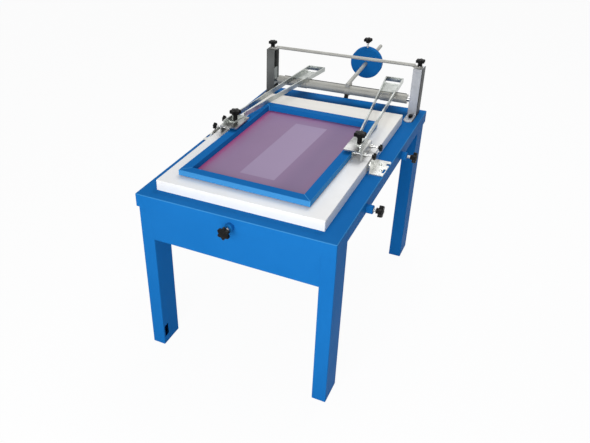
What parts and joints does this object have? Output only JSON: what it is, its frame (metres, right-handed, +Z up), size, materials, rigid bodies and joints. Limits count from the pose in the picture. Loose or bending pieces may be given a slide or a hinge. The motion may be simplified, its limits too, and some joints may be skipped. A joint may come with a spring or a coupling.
{
  "type": "screen printing press",
  "caption": "Floor-standing screen printing table: a framed screen on clamped arms swings up about a counterweighted shaft over a print board with registration screws.",
  "frame": {"origin": "middle of the whole press's box in X and Y, on the floor", "axes": "+X to the operator's right, +Y to the rear along the table, +Z up"},
  "size_m": [0.821, 1.6706, 0.956],
  "materials": {
    "blue_steel": "satin blue paint",
    "zinc_steel": "bright zinc plate",
    "bright_steel": "turned and ground",
    "dark_steel": "blackened",
    "satin_tube": "satin",
    "white_board": "white laminate",
    "black_plastic": "moulded, slightly glossy",
    "bronze": "turned bronze",
    "screen_fabric": "coated polyester mesh"
  },
  "bodies": {
    "table": {"table_top": "blue_steel", "front_apron": "blue_steel", "rear_apron": "blue_steel", "leg_front_left": "blue_steel", "leg_front_right": "blue_steel", "leg_rear_left": "blue_steel", "leg_rear_right": "blue_steel", "screw_bosses": "blue_steel", "guide_studs": "bright_steel", "tie_rod": "zinc_steel", "left_upright": "zinc_steel", "right_upright": "zinc_steel", "upright_bolts": "dark_steel", "left_side_bracket": "zinc_steel", "right_side_bracket": "zinc_steel", "bracket_bolts": "zinc_steel"},
    "y_carriage": {"y_carriage": "zinc_steel"},
    "front_screw": {"front_screw": "black_plastic"},
    "x_carriage": {"x_carriage": "zinc_steel"},
    "board": {"print_board": "white_board", "board_posts": "bright_steel", "board_plate": "zinc_steel"},
    "near_shoe": {"near_shoe": "bronze"},
    "near_screw": {"near_screw": "black_plastic"},
    "far_shoe": {"far_shoe": "bronze"},
    "far_screw": {"far_screw": "black_plastic"},
    "left_block": {"left_bearing_block": "bright_steel"},
    "right_block": {"right_bearing_block": "bright_steel"},
    "left_height_screw": {"left_height_screw": "black_plastic"},
    "right_height_screw": {"right_height_screw": "black_plastic"},
    "shaft": {"shaft_tube": "satin_tube", "shaft_journals": "bright_steel", "guide_bar": "dark_steel", "rod_hub": "zinc_steel", "hub_screw": "dark_steel", "weight_rod": "zinc_steel"},
    "weight": {"weight_disc": "blue_steel"},
    "weight_lock": {"weight_lock_screw": "black_plastic"},
    "screen": {"screen_rail_front": "blue_steel", "screen_rail_rear": "blue_steel", "screen_rail_left": "blue_steel", "screen_rail_right": "blue_steel", "screen_mesh": "screen_fabric"},
    "left_arm": {"left_arm": "zinc_steel", "left_saddle": "dark_steel", "left_clamp_bracket": "zinc_steel"},
    "left_clamp_knob": {"left_clamp_knob": "black_plastic"},
    "left_pad": {"left_pressure_pad": "zinc_steel"},
    "left_front_pad_screw": {"left_front_pad_screw": "black_plastic"},
    "left_rear_pad_screw": {"left_rear_pad_screw": "black_plastic"},
    "right_arm": {"right_arm": "zinc_steel", "right_saddle": "dark_steel", "right_clamp_bracket": "zinc_steel"},
    "right_clamp_knob": {"right_clamp_knob": "black_plastic"},
    "right_pad": {"right_pressure_pad": "zinc_steel"},
    "right_front_pad_screw": {"right_front_pad_screw": "black_plastic"},
    "right_rear_pad_screw": {"right_rear_pad_screw": "black_plastic"}
  },
  "joints": [
    {"name": "board_shift_y", "type": "slide", "parent": "table", "child": "y_carriage", "axis": [0, 1, 0], "range_m": [-0.008, 0.008]},
    {"name": "front_screw_spin", "type": "hinge", "parent": "y_carriage", "child": "front_screw", "pos_m": [-0.0255, -0.82726, 0.678], "axis": [0, 1, 0], "range_deg": [-1441, 1441]},
    {"name": "board_shift_x", "type": "slide", "parent": "y_carriage", "child": "x_carriage", "axis": [1, 0, 0], "range_m": [-0.0045, 0.0045]},
    {"name": "board_skew", "type": "hinge", "parent": "x_carriage", "child": "board", "pos_m": [0.1695, -0.45926, 0.704], "axis": [0, 0, 1], "range_deg": [-0.35, 0.35]},
    {"name": "near_shoe_slide", "type": "slide", "parent": "table", "child": "near_shoe", "axis": [1, 0, 0], "range_m": [-0.0045, 0.0045]},
    {"name": "near_screw_spin", "type": "hinge", "parent": "near_shoe", "child": "near_screw", "pos_m": [0.3995, -0.46226, 0.674], "axis": [1, 0, 0], "range_deg": [-811, 811]},
    {"name": "far_shoe_slide", "type": "slide", "parent": "table", "child": "far_shoe", "axis": [1, 0, 0], "range_m": [-0.0045, 0.0045]},
    {"name": "far_screw_spin", "type": "hinge", "parent": "far_shoe", "child": "far_screw", "pos_m": [0.4025, -0.00926, 0.674], "axis": [1, 0, 0], "range_deg": [-811, 811]},
    {"name": "shaft_height", "type": "slide", "parent": "table", "child": "left_block", "axis": [0, 0, 1], "range_m": [0, 0.05]},
    {"name": "right_block_height", "type": "slide", "parent": "table", "child": "right_block", "axis": [0, 0, 1], "range_m": [0, 0.05]},
    {"name": "left_height_spin", "type": "hinge", "parent": "left_block", "child": "left_height_screw", "pos_m": [-0.3765, 0.33874, 0.94], "axis": [0, 0, 1], "range_deg": [-1, 6001]},
    {"name": "right_height_spin", "type": "hinge", "parent": "right_block", "child": "right_height_screw", "pos_m": [0.3035, 0.33874, 0.94], "axis": [0, 0, 1], "range_deg": [-1, 6001]},
    {"name": "shaft_tilt", "type": "hinge", "parent": "left_block", "child": "shaft", "pos_m": [-0.0305, 0.33874, 0.773], "axis": [-1, 0, 0], "range_deg": [0, 60]},
    {"name": "left_arm_slide", "type": "slide", "parent": "shaft", "child": "left_arm", "axis": [-1, 0, 0], "range_m": [0, 0.03]},
    {"name": "right_arm_slide", "type": "slide", "parent": "shaft", "child": "right_arm", "axis": [1, 0, 0], "range_m": [0, 0.03]},
    {"name": "screen_slide", "type": "slide", "parent": "shaft", "child": "screen", "axis": [0.0175, 0.9998, 0], "range_m": [-0.04, 0.04]},
    {"name": "weight_slide", "type": "slide", "parent": "shaft", "child": "weight", "axis": [0, 0.9981, 0.061], "range_m": [-0.09, 0.2]},
    {"name": "weight_lock_spin", "type": "hinge", "parent": "weight", "child": "weight_lock", "pos_m": [-0.0015, 0.60674, 0.81889], "axis": [0, -0.061, 0.9981], "range_deg": [0, 180]},
    {"name": "left_clamp_spin", "type": "hinge", "parent": "left_arm", "child": "left_clamp_knob", "pos_m": [-0.2915, -0.21526, 0.81], "axis": [0, 0, 1], "range_deg": [0, 180]},
    {"name": "left_pad_slide", "type": "slide", "parent": "left_arm", "child": "left_pad", "axis": [-1, 0, 0], "range_m": [0, 0.012]},
    {"name": "left_front_pad_spin", "type": "hinge", "parent": "left_pad", "child": "left_front_pad_screw", "pos_m": [-0.3305, -0.25726, 0.772], "axis": [-1, 0, 0], "range_deg": [-1, 2161]},
    {"name": "left_rear_pad_spin", "type": "hinge", "parent": "left_pad", "child": "left_rear_pad_screw", "pos_m": [-0.3305, -0.17726, 0.772], "axis": [-1, 0, 0], "range_deg": [-1, 2161]},
    {"name": "right_clamp_spin", "type": "hinge", "parent": "right_arm", "child": "right_clamp_knob", "pos_m": [0.2305, -0.21526, 0.81], "axis": [0, 0, 1], "range_deg": [0, 180]},
    {"name": "right_pad_slide", "type": "slide", "parent": "right_arm", "child": "right_pad", "axis": [1, 0, 0], "range_m": [0, 0.012]},
    {"name": "right_front_pad_spin", "type": "hinge", "parent": "right_pad", "child": "right_front_pad_screw", "pos_m": [0.2695, -0.25726, 0.772], "axis": [1, 0, 0], "range_deg": [-1, 2161]},
    {"name": "right_rear_pad_spin", "type": "hinge", "parent": "right_pad", "child": "right_rear_pad_screw", "pos_m": [0.2695, -0.17726, 0.772], "axis": [1, 0, 0], "range_deg": [-1, 2161]}
  ],
  "couplings": [
    {"joint": "front_screw_spin", "follows": "board_shift_y", "rad_per_m": 3141.6},
    {"joint": "near_shoe_slide", "follows": "board_shift_x", "ratio": 1},
    {"joint": "near_screw_spin", "follows": "board_shift_x", "rad_per_m": 3141.6},
    {"joint": "far_shoe_slide", "follows": "board_shift_x", "ratio": 1},
    {"joint": "far_screw_spin", "follows": "board_shift_x", "rad_per_m": 3141.6},
    {"joint": "right_block_height", "follows": "shaft_height", "ratio": 1},
    {"joint": "left_height_spin", "follows": "shaft_height", "rad_per_m": 2094.4},
    {"joint": "right_height_spin", "follows": "shaft_height", "rad_per_m": 2094.4},
    {"joint": "left_front_pad_spin", "follows": "left_pad_slide", "rad_per_m": 3141.6},
    {"joint": "left_rear_pad_spin", "follows": "left_pad_slide", "rad_per_m": 3141.6},
    {"joint": "right_front_pad_spin", "follows": "right_pad_slide", "rad_per_m": 3141.6},
    {"joint": "right_rear_pad_spin", "follows": "right_pad_slide", "rad_per_m": 3141.6}
  ]
}
